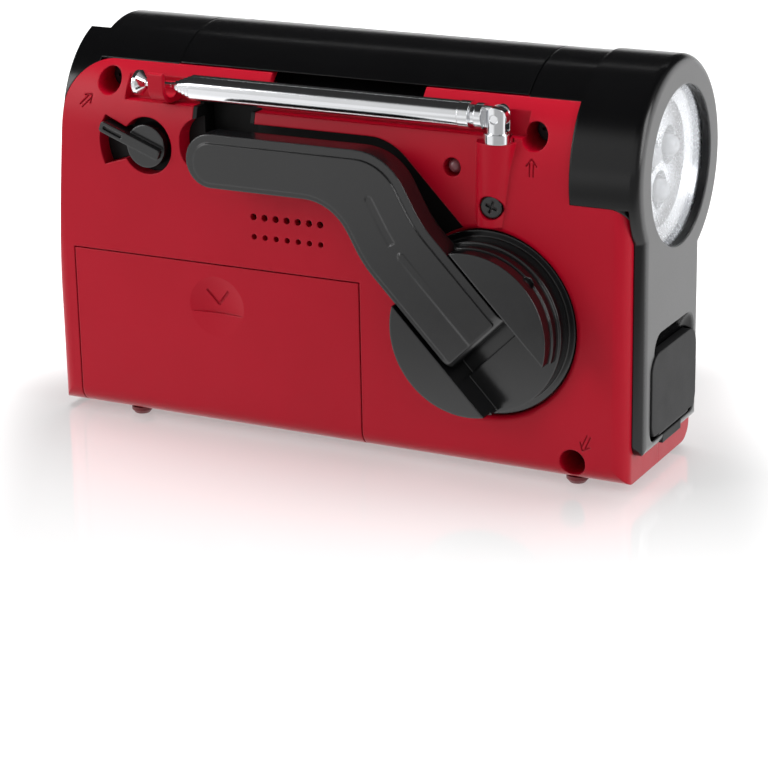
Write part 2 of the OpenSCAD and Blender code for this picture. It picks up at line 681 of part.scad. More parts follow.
module top_cover() color(BLACK) place() difference() {
    union() {
        difference() {
            intersection() {
                along_x(barrel_left_x, cap_x) intersection() {
                    translate([barrel_r, barrel_z]) circle(barrel_r);
                    top_region();
                }
                body_form();
            }
            along_x(knob_wall_x + wall, far) translate([barrel_r, barrel_z]) circle(lug_in_r);
            for (x = [[knob_wall_x + wall, handle_arm_x[0] - 2.4],
                      [handle_arm_x[0] + handle_arm_w + 2.4, handle_arm_x[1] - 2.4],
                      [handle_arm_x[1] + handle_arm_w + 2.4, far]])
                along_x(x[0], x[1]) translate([barrel_r, barrel_z]) circle(cover_in_r);
        }
        along_x(lift_x0 - 0.5, lift_x0 + lift_w + 4) intersection() {
            ring(cover_in_r, handle_bed_r);
            translate([0, rear_border_z - tongue_l]) square([barrel_r - 8, tongue_l + 1]);
        }
        intersection() {
            difference() {
                shell();
                block([knob_wall_x + wall, -far, -far], [far, far, rear_border_z]);
            }
            along_y(-over, notch_y) corner_region();
        }
        intersection() {
            for (p = [screw_places[0], screw_places[1]]) rod_y(p[0], p[1], seam_y, far, screw_boss_r - 1);
            along_x(-far, far) translate([barrel_r, barrel_z]) circle(handle_bed_r);
        }
    }
    for (p = screw_places) {
        rod_y(p[0], p[1], -over, screw_seat_y, screw_hole_r);
        rod_y(p[0], p[1], 0, screw_end_y, screw_shank_r + 0.02);
    }
    knob_notch();
    for (x = handle_arm_x) along_x(x - gap, x + handle_arm_w + gap) arm_bed();
    along_x(handle_left, handle_right) grip_bed();
    for (x = handle_arm_x)
        rod_x(pivot_y, pivot_z, x - 2.6, x + handle_arm_w + 2.6, handle_pin_r + 0.02);
}
module carry_handle() color(BLACK) place() difference() {
    union() {
        for (x = handle_arm_x) along_x(x, x + handle_arm_w) {
            intersection() {
                ring(barrel_r - handle_t, barrel_r);
                above_pivot(rear_border_z + gap);
            }
            at_pivot() circle(handle_t);
        }
        along_x(handle_left + gap, handle_right - gap) difference() {
            intersection() {
                ring(barrel_r - handle_t, barrel_r);
                above_pivot(rear_border_z + gap);
            }
            at_pivot() circle(grip_r);
        }
    }
    rod_x(pivot_y, pivot_z, -far, far, handle_pin_r + seat);
}
module handle_pins() color(CHROME) place()
    for (x = handle_arm_x) rod_x(pivot_y, pivot_z, x - 2.4, x + handle_arm_w + 2.4, handle_pin_r);

// Lamp head: cap, sleeve and side panel in one moulding
sleeve_r = barrel_r - wall - 0.4;
lens_r = lamp_r + 1.4;
head_bore_r = lens_r + 0.3;
lens_x = panel_x - lens_recess;
flap_y = panel_y + (panel_w - flap_w) / 2 + 1.1;
jack_y = [flap_y + flap_w / 4, flap_y + flap_w * 3 / 4];
jack_z = flap_z + flap_h / 2;
jack_body_r = jack_r + 1.2;
jack_l = 12;
pocket_back_x = flap_x - flap_t - 0.3;
scoop_r = 6;
scoop_d = 2.3;
scoop_half = sqrt(pow(scoop_r, 2) - pow(scoop_r - scoop_d, 2));
scoop_y = [flap_y + 2 + scoop_half, flap_y + flap_w - 1 - scoop_half];
tab_w = 12.5;
tab_y = flap_y + 8.5;
tab_z = panel_z + 0.4;
module panel() intersection() {
    along_x(right_x, panel_x) round_rect([panel_y, panel_z], [panel_y + panel_w, barrel_z], 4);
    linear_extrude(far) round_rect([right_x - far, panel_y], [panel_x, panel_y + panel_w], panel_edge_r);
    along_y(0, far) round_rect([right_x - far, panel_z], [panel_x, far], panel_edge_r);
}
module head_face() translate([right_x, barrel_r, barrel_z]) rotate([0, 90, 0]) rotate_extrude() {
    square([cap_r - panel_edge_r, panel_t]);
    square([cap_r, panel_t - panel_edge_r]);
    translate([cap_r - panel_edge_r, panel_t - panel_edge_r]) intersection() {
        circle(panel_edge_r);
        square(panel_edge_r);
    }
}
module flap_outline(margin) round_rect([flap_y - margin, flap_z - margin],
    [flap_y + flap_w + margin, flap_z + flap_h + margin], 5 + margin);
module head_shell() color(BLACK) place() difference() {
    union() {
        intersection() {
            rod_x(barrel_r, barrel_z, cap_x, right_x, cap_r);
            block([-far, -far, cap_z], [far, far, far]);
        }
        rod_x(barrel_r, barrel_z, cap_x, right_x, sleeve_r);
        head_face();
        panel();
        intersection() {
            shell();
            head_corner();
        }
    }
    rod_x(barrel_r, barrel_z, cap_x - over, lens_x, head_bore_r);
    translate([lens_x - over, barrel_r, barrel_z]) rotate([0, 90, 0])
        cylinder(h = far, r1 = lamp_r, r2 = lamp_r + far * 0.02);
    along_x(pocket_back_x, far) flap_outline(0.4);
    along_x(pocket_back_x, far) round_rect([flap_y - 0.4, flap_z - 0.4],
        [flap_y + flap_w + 0.4, flap_z + flap_h / 2], 3);
    along_x(pocket_back_x, far)
        translate([tab_y - 0.02, 0]) square([tab_w + 0.04, flap_z + flap_h / 2]);
    translate([panel_x + scoop_r - scoop_d, 0, flap_z + flap_h]) {
        rod_y(0, 0, scoop_y[0], scoop_y[1], scoop_r);
        for (y = scoop_y) translate([0, y, 0]) sphere(scoop_r);
    }
    for (y = jack_y) rod_x(y, jack_z, right_x - over, far, jack_body_r + 0.02);
}
module lens() color([0.9, 0.95, 1, 0.4]) place()
    rod_x(barrel_r, barrel_z, lens_x - lens_t, lens_x, lens_r);
led_angles = [30, 150, 270];
led_tip_x = lens_x - lens_t - 0.3;
reflector_front_x = lens_x - lens_t;
reflector_l = 9;
lamp_board_t = 1.6;
module at_led(a) translate([0, barrel_r + led_ring_r * cos(a), barrel_z + led_ring_r * sin(a)]) children();
module reflector() color(CHROME) place() difference() {
    rod_x(barrel_r, barrel_z, reflector_front_x - reflector_l, reflector_front_x, lens_r);
    translate([reflector_front_x - 3, barrel_r, barrel_z]) rotate([0, 90, 0])
        cylinder(h = 3.01, r1 = lens_r - 5, r2 = lens_r - 0.8);
    for (a = led_angles) at_led(a) translate([reflector_front_x - reflector_l - over, 0, 0])
        rotate([0, 90, 0]) cylinder(h = reflector_l + over, r1 = led_r + 0.4, r2 = led_ring_r * 0.8);
}
module lamp_leds() color([0.95, 0.97, 1]) place() for (a = led_angles) at_led(a) {
    translate([reflector_front_x - reflector_l, 0, 0]) rotate([0, 90, 0])
        cylinder(h = led_tip_x - led_r - (reflector_front_x - reflector_l), r = led_r);
    translate([led_tip_x - led_r, 0, 0]) sphere(led_r);
}
module lamp_board() color("darkgreen") place() rod_x(barrel_r, barrel_z,
    reflector_front_x - reflector_l - lamp_board_t, reflector_front_x - reflector_l, lens_r);

// Rubber cover over the jacks, hinged at its lower edge
hinge_x = flap_x - flap_t / 2;
hinge_z = flap_z + flap_t / 2;
module jack_cover() color([0.1, 0.1, 0.1]) place() {
    intersection() {
        along_x(flap_x - flap_t, flap_x) flap_outline(0);
        block([-far, -far, hinge_z], [far, far, far]);
    }
    rod_y(hinge_x, hinge_z, flap_y + 5, flap_y + flap_w - 5, flap_t / 2);
}
module jack_cover_tab() color([0.1, 0.1, 0.1]) place() block([pocket_back_x, tab_y, tab_z],
    [panel_x, tab_y + tab_w, flap_z - gap]);
module power_jacks() color([0.05, 0.05, 0.05]) place() for (y = jack_y) difference() {
    rod_x(y, jack_z, pocket_back_x - jack_l, pocket_back_x, jack_body_r);
    rod_x(y, jack_z, pocket_back_x - jack_l + 2, far, jack_r);
}
module jack_pins() color(CHROME) place()
    for (y = jack_y) rod_x(y, jack_z, pocket_back_x - jack_l + 2, pocket_back_x - 1, 0.65, $fn = 24);

// Battery bay behind its sliding door
tray_t = 1.2;
tray_x0 = door_x0 - 1.2;
tray_x1 = door_x1 + 1.2;
tray_y0 = wall + 0.3;
tray_z0 = wall + 0.1;
tray_y1 = tray_y0 + cell_d + 1.4 + tray_t;
tray_z1 = tray_z0 + 2 * tray_t + 3 * cell_d + 0.8;
contact_t = 0.5;
cell_x0 = tray_x0 + tray_t + contact_t + 0.3;
cell_nub_l = 1.2;
cell_y = tray_y0 + cell_d / 2 + 1;
cell_z = [for (i = [0 : 2]) tray_z0 + tray_t + 0.2 + cell_d * (i + 0.5) + 0.2 * i];
divider_x = cell_x0 + cell_l + cell_nub_l + contact_t + 0.6;
pack_l = 40;
pack_x0 = divider_x + tray_t + 0.6;
pack_cell_d = min(9.8, (tray_x1 - tray_t - pack_x0 - 0.6) / 3 - 0.05);
pack_y = tray_y1 - tray_t - pack_cell_d / 2;
// The thumb dish: deep above a ledge, shallow below it, with a pointer pressed into it
dish_x = door_x0 + door_w * 0.508;
dish_z = door_h * 0.744;
dish_low_d = 0.5;
ledge_z = dish_z - 1.9;
module dish(depth, grow) {
    r = (pow(dish_r, 2) + pow(depth, 2)) / (2 * depth);
    translate([dish_x, depth - r, dish_z]) sphere(r + grow);
}
module battery_door() color(RED) place() difference() {
    intersection() {
        shell();
        door_region(0);
    }
    intersection() {
        dish(dish_d, 0);
        block([-far, -far, ledge_z], [far, far, far]);
    }
    dish(dish_low_d, 0);
    intersection() {
        dish(dish_d, 0.35);
        for (a = [-1, 1]) translate([dish_x, 0, dish_z + 0.4]) rotate([0, a * 40, 0])
            block([-0.35, -over, 0], [0.35, wall, dish_r * 0.62]);
    }
}
module battery_tray() color(BLACK) place() difference() {
    intersection() {
        block([tray_x0, tray_y0, tray_z0], [tray_x1, tray_y1, tray_z1]);
        along_x(tray_x0, tray_x1) body_section(wall + 0.05);
    }
    difference() {
        block([tray_x0 + tray_t, -far, tray_z0 + tray_t], [tray_x1 - tray_t, tray_y1 - tray_t, tray_z1 - tray_t]);
        block([divider_x, tray_y0 + 3, -far], [divider_x + tray_t, far, far]);
    }
}
module aa_cells() color("seagreen") place() for (i = [0 : 2]) {
    nub_right = i % 2 == 0;
    x = cell_x0 + (nub_right ? 0 : cell_nub_l);
    rod_x(cell_y, cell_z[i], x, x + cell_l, cell_d / 2);
    rod_x(cell_y, cell_z[i], nub_right ? x + cell_l : x - cell_nub_l, nub_right ? x + cell_l + cell_nub_l : x, 2.7);
}
module battery_contacts() color(CHROME) place() for (z = cell_z, x = [tray_x0 + tray_t, divider_x - contact_t])
    block([x, cell_y - 4, z - 4], [x + contact_t, cell_y + 4, z + 4]);
module rechargeable_pack() color("royalblue") place() for (i = [0 : 2])
    translate([pack_x0 + pack_cell_d / 2 + i * (pack_cell_d + 0.05), pack_y, tray_z0 + tray_t])
        cylinder(h = pack_l, r = pack_cell_d / 2);

// Crank: a hub with two cheeks, and an arm that folds between them
slot_half = arm_root_w / 2 + arm_side_gap;
pit_half = arm_heel + 3.65;
pin_back = slot_half + 5;
hub_step_y = fold_y + 0.5;
hub_skirt_y = 1.4;
module turned() rotate([0, arm_slope, 0]) children();
module crank_hub() color(BLACK) place() at_hub() difference() {
    union() {
        rod_y(0, 0, arm_face_y, hub_floor_y, hub_r);
        rod_y(0, 0, hub_step_y, hub_floor_y, hub_r + 0.4);
        rod_y(0, 0, hub_floor_y - 0.01, hub_recess_d - gap, hub_base_r);
        rod_y(0, 0, hub_skirt_y, hub_recess_d - gap, hub_bore_r - 0.45);
        rod_y(0, 0, hub_recess_d - gap - 0.01, shaft_end_y, shaft_r);
    }
    turned() block([-far, -far, -slot_half], [far, hub_floor_y, slot_half]);
    turned() block([-pit_half, -far, -slot_half], [pit_half, hub_floor_y + 2.4, slot_half]);
    turned() translate([0, fold_y, -pin_back]) cylinder(h = far, r = crank_pin_r + 0.02);
}
module crank_pin() color(CHROME) place() at_hub() turned() {
    reach = sqrt(pow(hub_r, 2) - pow(crank_pin_r, 2)) - 0.3;
    translate([0, fold_y, -pin_back]) cylinder(h = pin_back + reach, r = crank_pin_r);
}
arm_border = [2.3, 1.3, 1.2];
arm_border_d = 0.5;
heel_round = arm_t / 2 - arm_border_d / 2 - 0.1;
heel_profile = [[-far, arm_face_y + arm_border_d, 0.2], [arm_heel - 0.01, arm_face_y + arm_border_d, heel_round],
    [arm_heel - 0.01, arm_back_y, heel_round], [-far, arm_back_y, 0.2]];
// A groove along the middle of the arm, from its heel over the lower bend
groove_r = 1.2;
groove_d = 0.65;
groove_l = 12.4;
sway_t = arm_sway_r * tan((arm_bend_slope - arm_slope) / 2);
sway_h = arm_sway_r * (1 / cos((arm_bend_slope - arm_slope) / 2) - 1);
groove_line = [arm_heel * down(arm_slope), arm_knee + sway_t * down(arm_slope),
    arm_knee + sway_h * out((arm_slope + arm_bend_slope) / 2), arm_knee - sway_t * down(arm_bend_slope),
    arm_knee - groove_l * down(arm_bend_slope)];
module arm_groove() for (i = [1 : len(groove_line) - 1]) {
    d = groove_line[i - 1] - groove_line[i];
    translate([groove_line[i][0], arm_face_y + groove_d - groove_r, groove_line[i][1]]) {
        sphere(groove_r);
        rotate([0, atan2(d[0], d[1]), 0]) cylinder(h = norm(d), r = groove_r);
    }
}
module crank_arm() color(BLACK) place() at_hub() difference() {
    union() {
        intersection() {
            along_y(-far, far) polygon(rounded(arm_points()));
            turned() translate([0, 0, -far / 2]) linear_extrude(far) polygon(rounded(heel_profile));
        }
        along_y(arm_face_y, fold_y) polygon(rounded(arm_points(-arm_border[0], -arm_border[1], -arm_border[2])));
    }
    turned() translate([0, fold_y, -far / 2]) cylinder(h = far, r = crank_pin_r + seat);
    arm_groove();
}

// Gear train from the crank to the dynamo
shaft_end_y = 19;
drive_y = bush_y0 + bush_l + 0.4;
idler_y = drive_y + gear_t + 0.6;
drive_r = gear_m * drive_teeth / 2;
pinion_r = gear_m * pinion_teeth / 2;
idler_r = gear_m * idler_teeth / 2;
idler_angle = 75;
rotor_angle = 150;
idler_c = [hub_x, hub_z] + (drive_r + pinion_r) * [cos(idler_angle), sin(idler_angle)];
rotor_c = idler_c + (idler_r + pinion_r) * [cos(rotor_angle), sin(rotor_angle)];
gear_pin_r = 1.5;
post_drop = 25;
plate_y = idler_y + gear_t + 0.6;
plate_t = 1.5;
// A spur gear in the XZ plane: one tooth of it points along the angle phase
module gear(teeth, phase, y0, y1) along_y(y0, y1) {
    r = gear_m * teeth / 2;
    root = r - 1.2 * gear_m;
    tip = r + 0.8 * gear_m;
    circle(root + 0.05);
    for (i = [0 : teeth - 1]) rotate(phase + i * 360 / teeth)
        polygon([[root - 0.3, -0.78 * gear_m], [tip, -0.3 * gear_m], [tip, 0.3 * gear_m], [root - 0.3, 0.78 * gear_m]]);
}
module drive_gear() color("ivory") place() at_hub() difference() {
    gear(drive_teeth, idler_angle, drive_y, drive_y + gear_t);
    rod_y(0, 0, -far, far, shaft_r + 0.02);
    for (a = [0 : 60 : 300]) rotate([0, a, 0]) rod_y(drive_r * 0.62, 0, -far, far, 3.6);
}
module hub_clip() color(CHROME) place() at_hub() difference() {
    rod_y(0, 0, drive_y + gear_t + 0.3, drive_y + gear_t + 1.1, shaft_r + 1.8);
    rod_y(0, 0, -far, far, shaft_r + 0.02);
}
module hub_bush() color("goldenrod") place() at_hub() difference() {
    union() {
        rod_y(0, 0, hub_recess_d, bush_y0 + bush_l, shaft_r + bush_wall);
    }
    rod_y(0, 0, -far, far, shaft_r + seat);
}
module idler_gear() color("ivory") place() translate([idler_c[0], 0, idler_c[1]]) difference() {
    union() {
        gear(pinion_teeth, idler_angle + 180 + 180 / pinion_teeth, drive_y, idler_y + 0.01);
        gear(idler_teeth, rotor_angle, idler_y, idler_y + gear_t);
    }
    rod_y(0, 0, -far, far, gear_pin_r + seat);
}
module idler_pin() color(CHROME) place() rod_y(idler_c[0], idler_c[1], hub_recess_d + wall, plate_y, gear_pin_r);
module gear_plate() color("silver") place() difference() {
    along_y(plate_y, plate_y + plate_t) union() {
        for (c = [[hub_x, hub_z], idler_c]) translate(c) circle(7);
        translate(rotor_c) circle(dynamo_r + 1.5);
        for (p = [[[hub_x, hub_z], idler_c], [idler_c, rotor_c]]) {
            d = p[1] - p[0];
            translate(p[0]) rotate(atan2(d[1], d[0])) translate([0, -5]) square([norm(d), 10]);
        }
        translate([hub_x - 5, hub_z - post_drop - 4]) square([10, post_drop + 4]);
    }
    rod_y(hub_x, hub_z, 0, far, shaft_r + seat);
    rod_y(rotor_c[0], rotor_c[1], 0, far, gear_pin_r + 0.6);
    rod_y(hub_x, hub_z - post_drop, 0, far, 1.5);
}
module dynamo_rotor() color(CHROME) place() translate([rotor_c[0], 0, rotor_c[1]]) {
    gear(pinion_teeth, rotor_angle + 180 + 180 / pinion_teeth, idler_y, idler_y + gear_t);
    rod_y(0, 0, idler_y + gear_t - 0.01, plate_y + plate_t + 4, gear_pin_r);
}
module dynamo_can() color("silver") place() translate([rotor_c[0], 0, rotor_c[1]]) difference() {
    rod_y(0, 0, plate_y + plate_t, plate_y + plate_t + dynamo_l, dynamo_r);
    rod_y(0, 0, 0, plate_y + plate_t + 5, gear_pin_r + seat);
}

// Antenna: knuckle on the pillar, outer tube and five sections
knuckle_slot = 2.6;
blade_t = knuckle_slot - 2 * 0.1;
ferrule_x1 = pivot_x - post_r - 0.5;
ferrule_ring_l = 2.9;
ferrule_neck_l = 1.5;
collar_h = 2.4;
module antenna_post() color(CHROME) place() difference() {
    union() {
        translate([pivot_x, antenna_y, pillar_z + 0.02]) cylinder(h = antenna_z - pillar_z - 0.02, r = post_r);
        translate([pivot_x, antenna_y, pillar_z + 0.02]) cylinder(h = collar_h, r = post_r + post_rim);
        intersection() {
            rod_y(pivot_x, antenna_z, antenna_y - post_r, antenna_y + post_r, post_r);
            translate([pivot_x, antenna_y, antenna_z - far / 2]) cylinder(h = far, r = post_r);
        }
        translate([pivot_x, antenna_y, pillar_z - post_foot_l]) cylinder(h = post_foot_l + 1, r = post_foot_r);
    }
    block([-far, antenna_y - knuckle_slot / 2, antenna_z - post_r - 0.3], [far, antenna_y + knuckle_slot / 2, far]);
    rod_y(pivot_x, antenna_z, -far, far, knuckle_pin_r + 0.02);
}
module antenna_pin() color(CHROME) place()
    rod_y(pivot_x, antenna_z, antenna_y - post_r + 0.4, antenna_y + post_r - 0.4, knuckle_pin_r, $fn = 32);
module antenna_screw() color(BLACK) place() difference() {
    rod_y(antenna_screw_x, antenna_screw_z, antenna_screw_back_y - 1.6, antenna_screw_back_y, antenna_screw_r);
    for (a = [0, 90]) translate([antenna_screw_x, 0, antenna_screw_z]) rotate([0, a + 20, 0])
        block([-1.6, -far, -0.3], [1.6, antenna_screw_back_y - 0.9, 0.3]);
}
module antenna_tube() color(CHROME) place() difference() {
    union() {
        rod_x(antenna_y, antenna_z, tube_x0, tube_x1 + 0.5, tube_r);
        rod_x(antenna_y, antenna_z, tube_x1, tube_x1 + ferrule_ring_l, tube_r + 0.15);
        rod_x(antenna_y, antenna_z, tube_x1, ferrule_x1, tube_r - 0.7);
        rod_x(antenna_y, antenna_z, tube_x1 + ferrule_ring_l + ferrule_neck_l, ferrule_x1, tube_r - 0.1);
        intersection() {
            rod_x(antenna_y, antenna_z, ferrule_x1 - 0.01, pivot_x + post_r, post_r - 0.2);
            block([-far, antenna_y - blade_t / 2, -far], [far, antenna_y + blade_t / 2, far]);
            union() {
                rod_y(pivot_x, antenna_z, -far, far, post_r - 0.2);
                block([-far, -far, -far], [pivot_x, far, far]);
            }
        }
    }
    rod_x(antenna_y, antenna_z, tube_x0 - over, tube_x1 - 1, tube_r - tube_wall);
    rod_y(pivot_x, antenna_z, -far, far, knuckle_pin_r + seat);
}
module antenna_section(i) color(CHROME) place() difference() {
    rod_x(antenna_y, antenna_z, section_x0(i), section_x1(i), section_r(i));
    if (i < section_count) rod_x(antenna_y, antenna_z, -far, section_x1(i) - 1, section_r(i) - tube_wall);
}
module antenna_section_2() antenna_section(1);
module antenna_section_3() antenna_section(2);
module antenna_section_4() antenna_section(3);
module antenna_section_5() antenna_section(4);
module antenna_rod() {
    antenna_section(5);
    color(CHROME) place() rod_x(antenna_y, antenna_z, tip_x + tip_t, section_x0(5), 0.9, $fn = 24);
}
module antenna_tip() color(CHROME) place() translate([tip_x, antenna_y, antenna_z]) rotate([0, 90, 0]) {
    cylinder(h = 1.2, r1 = tip_r - 1.2, r2 = tip_r);
    translate([0, 0, 1.2]) cylinder(h = 1, r = tip_r);
    translate([0, 0, 2.2]) cylinder(h = 1.8, r1 = tip_r, r2 = 1.2);
}

// Controls
pointer_half = 1.45;
module selector_knob() color(BLACK) place() translate([selector_x, 0, selector_z]) rotate([0, pointer_angle, 0])
difference() {
    union() {
        rod_y(0, 0, -0.6, selector_d - gap, selector_r);
        along_y(-2.4, -0.6 + 0.01) round_rect([-pointer_l, -pointer_half], [selector_r - 0.5, pointer_half], 0.8);
        along_y(-0.6, selector_d - gap - 1) round_rect([-pointer_l, -pointer_half], [0, pointer_half], 0.8);
        rod_y(0, 0, selector_d - gap - 0.01, selector_d + selector_plate_t + wall + 5, selector_shaft_r);
    }
    along_y(-3, -1.6) round_rect([-pointer_l + 1, -0.5], [-pointer_l + 7, 0.5], 0.4);
}
module selector_plate() color(BLACK) place() difference() {
    along_y(selector_d, selector_d + selector_plate_t - 0.02) selector_recess(-0.02);
    rod_y(selector_x, selector_z, 0, far, selector_shaft_r + 0.3);
}
switch_y = selector_d + selector_plate_t + wall + 0.05;
module selector_switch() color("dimgray") place() difference() {
    block([selector_x - 6, switch_y, selector_z - 6], [selector_x + 6, switch_y + 6.5, selector_z + 6]);
    rod_y(selector_x, selector_z, 0, far, selector_shaft_r + seat);
}
module charge_led() color([0.75, 0.1, 0.12]) place() {
    rod_y(charge_x, charge_z, charge_y, charge_y + 6, charge_r);
    translate([charge_x, charge_y, charge_z]) sphere(charge_r);
}
module speaker() color([0.2, 0.2, 0.2]) place() translate([speaker_x, front_y - wall, speaker_z]) rotate([90, 0, 0]) {
    cylinder(h = 2.4, r = speaker_r);
    translate([0, 0, 2.39]) cylinder(h = 6, r1 = speaker_r - 3, r2 = 13);
    translate([0, 0, 8.38]) cylinder(h = 6, r = 12);
}
module dial_window() color([0.9, 0.95, 1, 0.4]) place() along_y(front_y - 1.4, front_y)
    round_rect([dial_x0 + 0.05, dial_z0 + 0.05], [dial_x0 + dial_w - 0.05, dial_z0 + dial_h - 0.05], 2);
module dial_scale() color("ivory") place() difference() {
    union() {
        block([dial_x0 - 3, front_y - wall - 4.2, dial_z0 - 3],
            [dial_x0 + dial_w + 3, front_y - wall - 3.2, dial_z0 + dial_h + 3]);
        for (x = [dial_x0 - 3, dial_x0 + dial_w + 1.4]) block([x, front_y - wall - 3.3, dial_z0 - 3],
            [x + 1.6, front_y - wall, dial_z0 + dial_h + 3]);
    }
    for (i = [0 : 12]) block([dial_x0 + 6 + i * dial_travel / 12 - 0.25, front_y - wall - 3.5, dial_z0 + 2],
        [dial_x0 + 6 + i * dial_travel / 12 + 0.25, front_y, dial_z0 + (i % 3 == 0 ? 7 : 5)]);
}
module dial_pointer() color("orangered") place() {
    block([dial_x0 + 5.5, front_y - wall - 2.4, dial_z0 - 1], [dial_x0 + 6.5, front_y - wall - 1.4, dial_z0 + dial_h - 1]);
    block([dial_x0 + 3, front_y - wall - 2.4, dial_z0 - 2.6], [dial_x0 + 9, front_y - wall - 1.0, dial_z0 - 0.9]);
}
module tuning_knob() color(BLACK) place() difference() {
    union() {
        rod_x(barrel_r, barrel_z, knob_wall_x - tuning_t, knob_wall_x - gap, tuning_r);
        rod_x(barrel_r, barrel_z, knob_wall_x - gap - 0.01, knob_wall_x + wall + 8, knob_shaft_r);
    }
    for (i = [0 : 23]) translate([0, barrel_r, barrel_z]) rotate([i * 15, 0, 0])
        rod_x(tuning_r + 0.9, 0, -far, knob_wall_x - 3, 1.6, $fn = 24);
}
module volume_knob() color(BLACK) place() difference() {
    union() {
        rod_y(volume_x, volume_z, front_y + gap, front_y + 8, volume_r);
        rod_y(volume_x, volume_z, front_y - wall - 4, front_y + gap + 0.01, button_shaft_r);
    }
    for (i = [0 : 17]) translate([volume_x, 0, volume_z]) rotate([0, i * 20, 0])
        rod_y(volume_r + 0.5, 0, front_y + 2, far, 0.9, $fn = 16);
}
module volume_pot() color("dimgray") place() difference() {
    rod_y(volume_x, volume_z, front_y - wall - 9, front_y - wall - 0.05, volume_r);
    rod_y(volume_x, volume_z, front_y - wall - 5, far, button_shaft_r + seat);
}
module band_switch() color("dimgray") place() difference() {
    block([band_x - 11, front_y - wall - 7, band_z - 5], [band_x + 11, front_y - wall - 0.05, band_z + 5]);
    block([band_x - band_slot_w / 2, front_y - wall - 3, band_z - band_slot_h / 2],
        [band_x + band_slot_w / 2, far, band_z + band_slot_h / 2]);
}
module band_knob() color(BLACK) place() difference() {
    block([band_x - band_slot_w / 2 + gap, front_y - wall - 2.6, band_z - band_slot_h / 2 + gap],
        [band_x - band_slot_w / 2 + gap + band_knob_w, front_y + 2, band_z + band_slot_h / 2 - gap]);
    for (i = [1 : 3]) block([band_x - band_slot_w / 2 + gap + i * band_knob_w / 4 - 0.3, front_y + 1.4, -far],
        [band_x - band_slot_w / 2 + gap + i * band_knob_w / 4 + 0.3, far, far]);
}
module lamp_button() color(BLACK) place() {
    rod_y(lamp_button_x, lamp_button_z, front_y - wall - 2, front_y + 2.5, lamp_button_r);
    rod_y(lamp_button_x, lamp_button_z, front_y - wall - 3.2, front_y - wall - 1.99, lamp_button_r + 1.2);
}
module lamp_switch() color("dimgray") place()
    block([lamp_button_x - 6, front_y - wall - 10, lamp_button_z - 6],
        [right_x - wall, front_y - wall - 5.2, lamp_button_z + 6]);
module circuit_board() color("darkgreen") place()
    block([left_x + 17.4, tray_y1 + 3, wall], [left_x + 89.4, tray_y1 + 4.6, barrel_z - 7]);
foot_x = [left_x + 22, right_x - 15.4];
foot_y = [foot_edge_r + 1, base_d - foot_edge_r - 1];
module foot(x, y) translate([x, y, -foot_h]) {
    cylinder(h = foot_h * 0.5, r1 = foot_r - 0.8, r2 = foot_r);
    translate([0, 0, foot_h * 0.5]) cylinder(h = foot_h * 0.5, r = foot_r);
}
module feet() color([0.15, 0.02, 0.03]) place() {
    foot(foot_x[1], foot_y[0]);
    for (x = foot_x) foot(x, foot_y[1]);
}
module door_foot() color([0.15, 0.02, 0.03]) place() foot(foot_x[0], foot_y[0]);
module case_screws() color([0.3, 0.3, 0.32]) place() for (p = screw_places) difference() {
    union() {
        rod_y(p[0], p[1], screw_seat_y - 2.4, screw_seat_y, screw_head_r);
        rod_y(p[0], p[1], screw_seat_y - 0.01, screw_end_y - 1, screw_shank_r);
    }
    for (a = [0, 90]) translate([p[0], 0, p[1]]) rotate([0, a, 0])
        block([-1.8, -far, -0.4], [1.8, screw_seat_y - 1.2, 0.4]);
}

rear_cover();
crank_bed();
front_cover();
top_cover();
carry_handle();
handle_pins();
head_shell();
lens();
reflector();
lamp_leds();
lamp_board();
jack_cover();
jack_cover_tab();
power_jacks();
jack_pins();
battery_door();
battery_tray();
aa_cells();
battery_contacts();
rechargeable_pack();
crank_hub();
crank_pin();
crank_arm();
hub_bush();
drive_gear();
hub_clip();
idler_gear();
idler_pin();
gear_plate();
dynamo_rotor();
dynamo_can();
antenna_post();
antenna_pin();
antenna_screw();
antenna_tube();
antenna_section_2();
antenna_section_3();
antenna_section_4();
antenna_section_5();
antenna_rod();
antenna_tip();
selector_knob();
selector_plate();
selector_switch();
charge_led();
speaker();
dial_window();
dial_scale();
dial_pointer();
tuning_knob();
volume_knob();
volume_pot();
band_switch();
band_knob();
lamp_button();
lamp_switch();
circuit_board();
feet();
door_foot();
case_screws();
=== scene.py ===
import math

import bpy
import bmesh
from mathutils import Matrix, Vector


